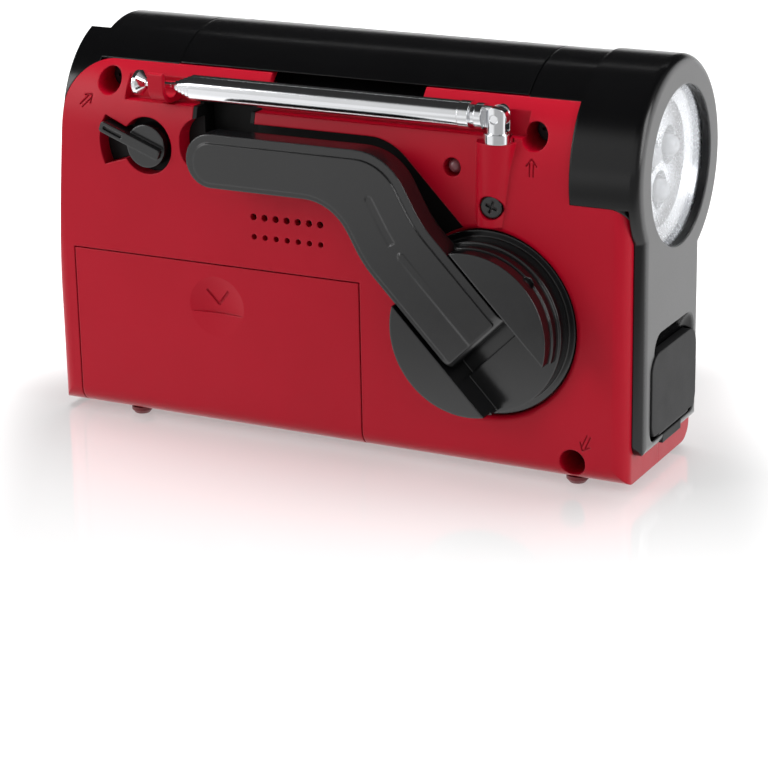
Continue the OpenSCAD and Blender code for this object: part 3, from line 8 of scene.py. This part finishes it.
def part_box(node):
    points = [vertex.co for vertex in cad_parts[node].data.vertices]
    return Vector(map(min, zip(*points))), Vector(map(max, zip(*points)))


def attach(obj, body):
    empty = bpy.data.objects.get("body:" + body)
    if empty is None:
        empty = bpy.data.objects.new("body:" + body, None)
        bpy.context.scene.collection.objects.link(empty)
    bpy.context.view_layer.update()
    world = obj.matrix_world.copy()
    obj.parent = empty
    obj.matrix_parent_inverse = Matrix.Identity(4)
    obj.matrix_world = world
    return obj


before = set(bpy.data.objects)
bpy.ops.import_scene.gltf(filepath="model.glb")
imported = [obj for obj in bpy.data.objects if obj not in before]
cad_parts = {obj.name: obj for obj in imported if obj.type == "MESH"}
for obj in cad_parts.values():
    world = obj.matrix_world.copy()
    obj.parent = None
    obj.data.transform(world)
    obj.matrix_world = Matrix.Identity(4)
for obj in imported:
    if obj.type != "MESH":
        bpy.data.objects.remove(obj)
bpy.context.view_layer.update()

# The case: a rear and a front cover of injection-moulded ABS, screwed together from behind, and the battery
# door that slides off downwards, all in the same red. The tool is spark-eroded, which leaves a satin grain.
class Wire:
    """A socket in a node tree. Sums, products and the like add the nodes that work them out."""

    def __init__(self, tree, socket=None):
        self.tree = tree
        self.socket = socket

    def node(self, kind, settings, values, out=0):
        """The output of a new node of that kind, with its settings, then the values or Wires of its sockets."""
        made = self.tree.nodes.new(kind)
        for key, value in settings.items():
            setattr(made, key, value)
        for key, value in values.items():
            if isinstance(value, Wire):
                self.tree.links.new(value.socket, made.inputs[key])
            else:
                made.inputs[key].default_value = value
        return Wire(self.tree, made.outputs[out])

    def math(self, operation, other=0.0, swapped=False):
        first, second = (other, self) if swapped else (self, other)
        return self.node("ShaderNodeMath", {"operation": operation}, {0: first, 1: second})

    def __add__(self, other):
        return self.math("ADD", other)

    __radd__ = __add__

    def __sub__(self, other):
        return self.math("SUBTRACT", other)

    def __rsub__(self, other):
        return self.math("SUBTRACT", other, swapped=True)

    def __mul__(self, other):
        return self.math("MULTIPLY", other)

    __rmul__ = __mul__

    def above(self, level, width):
        """0 below the level and 1 above it, with a soft step of that width to each side."""
        settings = {"clamp": True, "interpolation_type": "SMOOTHSTEP"}
        return self.node("ShaderNodeMapRange", settings, {0: self, 1: level - width, 2: level + width})

    def along(self, x, y, z):
        """How far this place lies in that direction, in metres."""
        settings = {"operation": "DOT_PRODUCT"}
        return self.node("ShaderNodeVectorMath", settings, {0: self, 1: (x, y, z)}, out="Value")

    def noise(self, scale, detail=3.0):
        return self.node("ShaderNodeTexNoise", {}, {"Vector": self, "Scale": scale, "Detail": detail})

    def blend(self, low, high):
        """From the colour low to the colour high as this goes from 0 to 1."""
        low = low if isinstance(low, Wire) else (*low, 1)
        high = high if isinstance(high, Wire) else (*high, 1)
        return self.node("ShaderNodeMix", {"data_type": "RGBA"}, {0: self, 6: low, 7: high}, out=2)


def new_finish(name):
    """A new material, its shader, and its Object coordinates as a Wire."""
    material = bpy.data.materials.new(name)
    material.use_nodes = True
    shader = material.node_tree.nodes["Principled BSDF"]
    place = Wire(material.node_tree).node("ShaderNodeTexCoord", {}, {}, out="Object")
    return material, shader, place


def feed(shader, socket, wire):
    wire.tree.links.new(wire.socket, shader.inputs[socket])


def moulded(name, low, high, gloss, grain, depth, edge, specular=0.5):
    """Moulded plastic: a cloudy colour from low to high, with gloss as its roughness, a grain of that size
    and depth, and edges of that radius. Lengths are in metres."""
    material, shader, place = new_finish(name)
    cloud = place.noise(45.0)
    pits = place.noise(1.0 / grain, 2.0)
    handled = place.noise(160.0, 5.0)
    feed(shader, "Base Color", cloud.blend(low, high))
    feed(shader, "Roughness", gloss + (handled - 0.5) * 0.12 + (pits - 0.5) * 0.1)
    rounded = place.node("ShaderNodeBevel", {"samples": 6}, {"Radius": edge})
    bump = {"Height": pits, "Strength": 0.35, "Distance": depth, "Normal": rounded}
    feed(shader, "Normal", place.node("ShaderNodeBump", {}, bump))
    shader.inputs["Specular IOR Level"].default_value = specular
    return material


def dress(material, *names):
    for name in names:
        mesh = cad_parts[name].data
        mesh.materials.clear()
        mesh.materials.append(material)


red = moulded("moulded_red", (0.4, 0.001, 0.013), (0.45, 0.002, 0.018),
              gloss=0.36, grain=0.0005, depth=0.00003, edge=0.0005, specular=0.2)
dress(red, "rear_cover", "front_cover", "battery_door")

# The bed under the crank's arm is a thin black sheet laid into the red cover from behind, and its black is
# painted shade for the deep arm recess.
# The plate under the selector is a thin black moulding laid in the same way. Both keep the tool's matt grain,
# as do tray and switches.
inner = moulded("inner_black", (0.003, 0.003, 0.003), (0.006, 0.006, 0.006),
                gloss=0.55, grain=0.0006, depth=0.00003, edge=0.0003, specular=0.2)
# The crank's bed takes this black as painted shade for its recess.
dress(inner, "crank_bed", "selector_plate", "battery_tray", "power_jacks", "selector_switch", "volume_pot",
      "band_switch", "lamp_switch")

# The barrel's top cover and the carry handle that lies flush in it are black ABS from a polished tool, and so
# are the knobs. They show long soft reflections, with only a trace of handling in the gloss.
black_low, black_high = (0.0015, 0.0015, 0.0017), (0.003, 0.003, 0.0033)
black = moulded("polished_black", black_low, black_high,
                gloss=0.18, grain=0.0012, depth=0.00001, edge=0.0005, specular=0.35)
dress(black, "top_cover", "carry_handle", "tuning_knob", "volume_knob", "band_knob", "lamp_button")

# The lamp head: cap, sleeve and end panel in one black moulding, fixed to the end of the case.
# The cap is polished, and the end panel's flat face has a fine even grain. Its grey base colour is a painted
# sheen that stands in for the side light the face reflects.
head, shader, place = new_finish("head_black_painted_sheen")
panel_x, panel_blur = 0.0843, 0.0003
panel_face = place.along(1, 0, 0).above(panel_x, panel_blur)
cloud = place.noise(60.0)
grain = place.noise(2600.0, 2.0)
# Painted sheen: the panel face gets a grey base colour in place of the light it would reflect.
panel_painted_sheen = cloud.blend((0.09, 0.09, 0.091), (0.105, 0.105, 0.106))
feed(shader, "Base Color", panel_face.blend(cloud.blend(black_low, black_high), panel_painted_sheen))
feed(shader, "Roughness", 0.2 + panel_face * 0.12 + (grain - 0.5) * 0.12)
rounded = place.node("ShaderNodeBevel", {"samples": 6}, {"Radius": 0.0006})
bump = {"Height": grain * panel_face, "Strength": 0.3, "Distance": 0.00003, "Normal": rounded}
feed(shader, "Normal", place.node("ShaderNodeBump", {}, bump))
shader.inputs["Specular IOR Level"].default_value = 0.4
dress(head, "head_shell")

# The crank: a round hub with two cheeks and a bent arm that folds between them, both polished glass-filled
# nylon. The arm's face has a raised panel inside a narrow border, and a pressed-in line along its middle.
crank_black = moulded("crank_black", (0.003, 0.003, 0.0034), (0.005, 0.005, 0.0055),
                      gloss=0.2, grain=0.0009, depth=0.00001, edge=0.0006, specular=0.7)
dress(crank_black, "crank_hub", "crank_arm", "crank_pin", "selector_knob", "antenna_screw")

# The lamp: a clear acrylic lens over a vacuum-metallised reflector, with a hole for each of the diodes.
# These are clear epoxy domes round a yellow phosphor chip, on a board that closes the sleeve from behind.
clear, shader, place = new_finish("clear_acrylic")
shader.inputs["Base Color"].default_value = (0.97, 0.98, 1, 1)
shader.inputs["Transmission Weight"].default_value = 1.0
shader.inputs["IOR"].default_value = 1.49
feed(shader, "Roughness", 0.02 + place.noise(220.0).above(0.62, 0.1) * 0.05)
dress(clear, "lens", "dial_window")
epoxy, shader, place = new_finish("diode_epoxy")
feed(shader, "Base Color", place.noise(300.0).blend((0.88, 0.9, 0.92), (0.97, 0.98, 1)))
feed(shader, "Roughness", 0.03 + place.noise(150.0) * 0.02)
shader.inputs["Transmission Weight"].default_value = 0.35
shader.inputs["IOR"].default_value = 1.5
dress(epoxy, "lamp_leds")


def new_tree(name, **inputs):
    """A Geometry Nodes tree, and its named inputs as Wires."""
    tree = bpy.data.node_groups.new(name, "GeometryNodeTree")
    tree.interface.new_socket("Geometry", in_out="OUTPUT", socket_type="NodeSocketGeometry")
    for key, kind in inputs.items():
        tree.interface.new_socket(key, in_out="INPUT", socket_type=kind)
    start = tree.nodes.new("NodeGroupInput")
    return tree, {key: Wire(tree, start.outputs[key]) for key in inputs}


def close(tree, shape, material):
    """Ends a tree: its instances are made real and take the material."""
    real = shape.node("GeometryNodeRealizeInstances", {}, {0: shape})
    dressed = real.node("GeometryNodeSetMaterial", {}, {"Geometry": real, "Material": material})
    tree.links.new(dressed.socket, tree.nodes.new("NodeGroupOutput").inputs[0])


def grown(name, tree, values, body):
    """The plain mesh that a Geometry Nodes tree grows with its inputs set by name, riding on that body."""
    seed = bpy.data.objects.new(name, bpy.data.meshes.new(name))
    bpy.context.scene.collection.objects.link(seed)
    modifier = seed.modifiers.new("grow", "NODES")
    modifier.node_group = tree
    for socket in tree.interface.items_tree:
        if socket.name in values:
            modifier[socket.identifier] = values[socket.name]
    seen = seed.evaluated_get(bpy.context.evaluated_depsgraph_get())
    seed.data = bpy.data.meshes.new_from_object(seen)
    seed.data.name = name
    seed.modifiers.clear()
    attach(seed, body)


phosphor = moulded("yellow_phosphor", (0.75, 0.55, 0.08), (0.85, 0.65, 0.12),
                   gloss=0.6, grain=0.0004, depth=0.00002, edge=0.0001)
tree, size = new_tree("diode_chips", ring="NodeSocketFloat", chip="NodeSocketVector", place="NodeSocketVector")
ring = Wire(tree).node("GeometryNodeMeshCircle", {}, {"Vertices": 3, "Radius": size["ring"]})
square = Wire(tree).node("GeometryNodeMeshCube", {}, {"Size": size["chip"]})
chips = ring.node("GeometryNodeInstanceOnPoints", {}, {"Points": ring, "Instance": square})
turned = chips.node("GeometryNodeTransform", {}, {"Geometry": chips, "Rotation": (0, 0, math.radians(30))})
upright = {"Geometry": turned, "Rotation": (math.pi / 2, 0, math.pi / 2), "Translation": size["place"]}
close(tree, turned.node("GeometryNodeTransform", {}, upright), phosphor)
lens_low, lens_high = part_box("lens")
chip_depth = 0.005
chip_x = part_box("lamp_leds")[1][0] - chip_depth
barrel_y = (lens_low[1] + lens_high[1]) / 2
barrel_z = (lens_low[2] + lens_high[2]) / 2
chip_values = {"ring": 0.0068, "chip": (0.0015, 0.0015, 0.0006), "place": (chip_x, barrel_y, barrel_z)}
grown("diode_chips", tree, chip_values, "casing")


def plated(name, colour, gloss, streak, metallic=1.0):
    """Bright metal with fine streaks, drawn out along X where the streak factor is small."""
    material, shader, place = new_finish(name)
    drawn = place.node("ShaderNodeMapping", {}, {"Vector": place, "Scale": (streak, 1, 1)})
    line = drawn.noise(1500.0, 2.0)
    haze = place.noise(120.0)
    feed(shader, "Base Color", haze.blend([0.92 * part for part in colour], colour))
    feed(shader, "Roughness", gloss + line * 0.06 + haze * 0.04)
    feed(shader, "Normal", place.node("ShaderNodeBevel", {"samples": 4}, {"Radius": 0.0003}))
    shader.inputs["Metallic"].default_value = metallic
    return material


mirror = plated("metallised_reflector", (0.95, 0.96, 0.97), gloss=0.22, streak=1.0, metallic=0.7)
dress(mirror, "reflector")

# The rubber cover over the power jacks and its fixed tab are one soft moulding, matt and slightly dusty.
# The four feet are rubber too, in a dark red, and pressed into the underside, one of them into the door.
rubber = moulded("matt_rubber", (0.006, 0.006, 0.0065), (0.01, 0.01, 0.011),
                 gloss=0.6, grain=0.0004, depth=0.00005, edge=0.0006, specular=0.35)
dress(rubber, "jack_cover", "jack_cover_tab")
foot_rubber = moulded("foot_rubber", (0.12, 0.003, 0.008), (0.16, 0.005, 0.011),
                      gloss=0.55, grain=0.0005, depth=0.00003, edge=0.0004)
dress(foot_rubber, "feet", "door_foot")

# The telescopic antenna: five drawn brass tubes and a rod, chromed, on a knuckle whose post stands on the red
# pillar. Each tube's end is rolled in, so that the next one can't be pulled out.
chrome = plated("chromed_tube", (0.86, 0.87, 0.89), gloss=0.06, streak=0.02)
dress(chrome, "antenna_post", "antenna_pin", "antenna_tube", "antenna_section_2", "antenna_section_3",
      "antenna_section_4", "antenna_section_5", "antenna_rod", "antenna_tip")

# The drive inside: a brass bush in the cover, acetal gears on steel pins, a pressed steel plate and the
# dynamo's can. Pins, clip and contacts are zinc-plated steel, and the screws that hold the case are blackened.
steel = plated("zinc_steel", (0.42, 0.42, 0.43), gloss=0.3, streak=0.2)
dress(steel, "handle_pins", "hub_clip", "idler_pin", "gear_plate", "dynamo_rotor", "dynamo_can",
      "battery_contacts", "jack_pins")
screw_black = plated("blackened_steel", (0.05, 0.05, 0.052), gloss=0.35, streak=1.0)
dress(screw_black, "case_screws")
brass = plated("turned_brass", (0.72, 0.5, 0.2), gloss=0.25, streak=1.0)
dress(brass, "hub_bush")
ivory = moulded("acetal", (0.72, 0.7, 0.62), (0.78, 0.76, 0.68),
                gloss=0.45, grain=0.0006, depth=0.00002, edge=0.0002)
dress(ivory, "drive_gear", "idler_gear", "dial_scale")

# The cells lie in the tray behind the sliding door: three dry cells and a small rechargeable pack.
# Their sleeves are plain shrunk film, glossy and slightly wrinkled.
sleeve = moulded("cell_sleeve", (0.03, 0.1, 0.09), (0.04, 0.13, 0.12),
                 gloss=0.3, grain=0.002, depth=0.00001, edge=0.0004)
dress(sleeve, "aa_cells", "rechargeable_pack")

# The boards are glass epoxy under a green solder mask. The dial's pointer is a tinted moulding that slides
# behind the window as the tuning knob turns.
board = moulded("green_board", (0.01, 0.07, 0.03), (0.014, 0.09, 0.04),
                gloss=0.4, grain=0.001, depth=0.00002, edge=0.0002)
dress(board, "circuit_board", "lamp_board")
signal = moulded("signal_red", (0.4, 0.02, 0.02), (0.5, 0.03, 0.03),
                 gloss=0.15, grain=0.001, depth=0.00001, edge=0.0002)
dress(signal, "dial_pointer")

# The dial's scale is printed in black on the ivory plate behind the window: two rows of plain numbers.
# They run upwards from left to right for someone who looks at the speaker side.
ink = moulded("dial_ink", (0.012, 0.012, 0.013), (0.02, 0.02, 0.02),
              gloss=0.6, grain=0.0005, depth=0.00001, edge=0.0001)
window_low, window_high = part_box("dial_window")
plate_gap = 0.00398
first_mark, mark_step = 0.006, 0.012
digit_size, ink_depth = 0.0034, 0.00003
rows = {0.0105: ("88", "93", "98", "103", "108"), 0.0015: ("54", "70", "95", "130", "170")}
printed = bmesh.new()
for rise, row in rows.items():
    for step, digits in enumerate(row):
        text = bpy.data.curves.new("digits", "FONT")
        text.body = digits
        text.size = digit_size
        text.align_x = "CENTER"
        text.extrude = ink_depth
        holder = bpy.data.objects.new("digits", text)
        bpy.context.scene.collection.objects.link(holder)
        shape = bpy.data.meshes.new_from_object(holder.evaluated_get(bpy.context.evaluated_depsgraph_get()))
        mark_x = window_high[0] - first_mark - step * mark_step
        mark_y = window_low[1] - plate_gap
        mark_z = window_low[2] + rise
        shape.transform(Matrix(((-1, 0, 0, mark_x), (0, 0, 1, mark_y), (0, 1, 0, mark_z), (0, 0, 0, 1))))
        printed.from_mesh(shape)
        bpy.data.objects.remove(holder)
digits_mesh = bpy.data.meshes.new("dial_numbers")
printed.to_mesh(digits_mesh)
printed.free()
digits_mesh.materials.append(ink)
dial_numbers = bpy.data.objects.new("dial_numbers", digits_mesh)
bpy.context.scene.collection.objects.link(dial_numbers)
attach(dial_numbers, "casing")

# The charge light is a small diffusing dome, deep in its well, and dull while it is off.
# It is pushed into the cover from behind, and its legs go to the board.
dull_lamp = moulded("dull_charge_light", (0.16, 0.05, 0.06), (0.2, 0.07, 0.08),
                    gloss=0.3, grain=0.001, depth=0.00001, edge=0.0002)
dress(dull_lamp, "charge_led")

# The speaker behind the grille: a black pressed basket with a woven dust cloth stretched over its front.
# Its rim lies against the inside of the front cover.
cloth, shader, place = new_finish("speaker_cloth")
threads_per_metre = 7000.0
weft = (place.along(1, 0, 0) * threads_per_metre).math("SINE")
warp = (place.along(0, 0, 1) * threads_per_metre).math("SINE")
weave = 0.5 + 0.25 * (weft + warp)
feed(shader, "Base Color", weave.blend((0.002, 0.002, 0.002), (0.02, 0.02, 0.02)))
feed(shader, "Roughness", 0.9 - 0.2 * weave)
feed(shader, "Normal", place.node("ShaderNodeBump", {}, {"Height": weave, "Strength": 0.6, "Distance": 0.0002}))
dress(cloth, "speaker")

# The floor: a pale sheet that mirrors the radio near its feet, as a glossy table does, and fades to white in
# front. In the radio's own reflections it is a white card that dims to the front and the right.
bpy.ops.mesh.primitive_plane_add(size=30)
floor = bpy.context.object
floor.name = "floor"
paper = bpy.data.materials.new("floor_paper")
paper.use_nodes = True
tree = paper.node_tree
tree.nodes.clear()
sheet = Wire(tree)
ray = sheet.node("ShaderNodeLightPath", {}, {}, out="Is Camera Ray")
mirrored = sheet.node("ShaderNodeLightPath", {}, {}, out="Is Glossy Ray")
floor_place = sheet.node("ShaderNodeTexCoord", {}, {}, out="Object")
view_x, view_y = 0.46, 0.887
nearness = floor_place.along(view_x, -view_y, 0)
sideways = floor_place.along(view_y, view_x, 0)
front = floor_place.along(0, -1, 0)
matt = sheet.node("ShaderNodeBsdfDiffuse", {}, {"Color": (0.6, 0.6, 0.6, 1)})
glow = sheet.node("ShaderNodeEmission", {}, {"Color": (1, 1, 1, 1), "Strength": ray * 0.6})
lit = sheet.node("ShaderNodeAddShader", {}, {0: matt, 1: glow})
card_strength = 1.3
sweep = front.above(0.11, 0.07) * (0.35 + 0.5 * floor_place.along(1, 0, 0).above(-0.06, 0.08))
shade = (sweep * (1.0 / card_strength)).blend((1, 1, 1), (0, 0, 0))
card = sheet.node("ShaderNodeEmission", {}, {"Color": shade, "Strength": card_strength})
lit = sheet.node("ShaderNodeMixShader", {}, {0: mirrored, 1: lit, 2: card})
gloss = sheet.node("ShaderNodeBsdfGlossy", {}, {"Color": (1, 1, 1, 1), "Roughness": 0.06})
beside = sideways.above(-0.105, 0.02) * (1.0 - sideways.above(0.105, 0.02))
under = nearness.above(-0.06, 0.03) * (1.0 - nearness.above(0.17, 0.24))
fade = 0.46 * beside * under * (1.0 - mirrored)
shown = sheet.node("ShaderNodeMixShader", {}, {0: fade, 1: lit, 2: gloss})
end = tree.nodes.new("ShaderNodeOutputMaterial")
tree.links.new(shown.socket, end.inputs["Surface"])
floor.data.materials.append(paper)

# The room: white to the camera and through glass. Mirrored in polished pieces it is white low behind the radio,
# grey in front and to the right, and dim elsewhere, so that polished black stays dark.
world = bpy.data.worlds.new("studio")
bpy.context.scene.world = world
world.use_nodes = True
sky = Wire(world.node_tree)
seen = sky.node("ShaderNodeLightPath", {}, {}, out="Is Camera Ray")
seen = seen + sky.node("ShaderNodeLightPath", {}, {}, out="Is Transmission Ray")
mirrored = sky.node("ShaderNodeLightPath", {}, {}, out="Is Glossy Ray")
heading = sky.node("ShaderNodeTexCoord", {}, {}, out="Generated")
height = heading.along(0, 0, 1)
behind = heading.along(-view_x, view_y, 0).above(0.25, 0.35) * (1.0 - height.above(0.2, 0.08))
ahead = heading.along(-0.44, -0.9, 0).above(0.45, 0.25) * (1.0 - height.above(0.6, 0.12))
right = heading.along(1, 0, 0).above(0.6, 0.25)
walls = (0.97 * behind).math("MAXIMUM", 0.45 * right).math("MAXIMUM", 0.7 * ahead)
room = 0.03 + walls
fill = 0.5
plain = fill + (1.0 - fill) * seen.math("MINIMUM", 1.0)
strength = plain + mirrored * (room - fill)
background = world.node_tree.nodes["Background"]
background.inputs["Color"].default_value = (1, 1, 1, 1)
world.node_tree.links.new(strength.socket, background.inputs["Strength"])


# The lamps: a large soft one above, one at each side, and a narrow strip behind for the line along the barrel.
# The large one isn't mirrored, because it would lie as a white sheet on the barrel.
def softbox(name, place, aim, size, watts):
    lamp = bpy.data.lights.new(name, "AREA")
    lamp.shape = "RECTANGLE"
    lamp.size, lamp.size_y = size
    lamp.energy = watts
    holder = bpy.data.objects.new(name, lamp)
    holder.location = place
    holder.rotation_euler = (Vector(aim) - Vector(place)).to_track_quat("-Z", "Y").to_euler()
    bpy.context.scene.collection.objects.link(holder)
    return holder


overhead = softbox("top_lamp", (-0.1, 0.2, 0.9), aim=(0, 0, 0.05), size=(0.9, 0.5), watts=9)
overhead.visible_glossy = False
softbox("top_strip", (-0.1, 0.5, 0.75), aim=(0, 0, 0.05), size=(0.8, 0.03), watts=0.08)
softbox("left_lamp", (-0.8, -0.7, 0.45), aim=(0, 0, 0.05), size=(0.4, 0.7), watts=5)
softbox("right_lamp", (0.9, -0.1, 0.4), aim=(0.05, 0, 0.05), size=(0.4, 0.6), watts=4)

# The camera stands where the photograph was taken from: to the right of the back, a little above the radio.
# Its angles, place and lens were fitted to points that the photograph and the CAD share.
yaw, pitch, roll = math.radians(27.499), math.radians(18.8185), math.radians(-1.08636)
camera_place = (0.317175, -0.602853, 0.243838)
back = Vector((math.sin(yaw) * math.cos(pitch), -math.cos(yaw) * math.cos(pitch), math.sin(pitch)))
side = (-back).cross(Vector((0, 0, 1))).normalized()
rise = side.cross(-back)
across = math.cos(roll) * side + math.sin(roll) * rise
down = math.sin(roll) * side - math.cos(roll) * rise
camera = bpy.data.objects.new("camera", bpy.data.cameras.new("camera"))
camera.data.lens = 126.16
camera.data.sensor_width = 36
camera.data.clip_start = 0.01
turn = Matrix((across, -down, back)).transposed().to_4x4()
camera.matrix_world = Matrix.Translation(camera_place) @ turn
bpy.context.scene.collection.objects.link(camera)
bpy.context.scene.camera = camera
bpy.context.scene.view_settings.view_transform = "Standard"
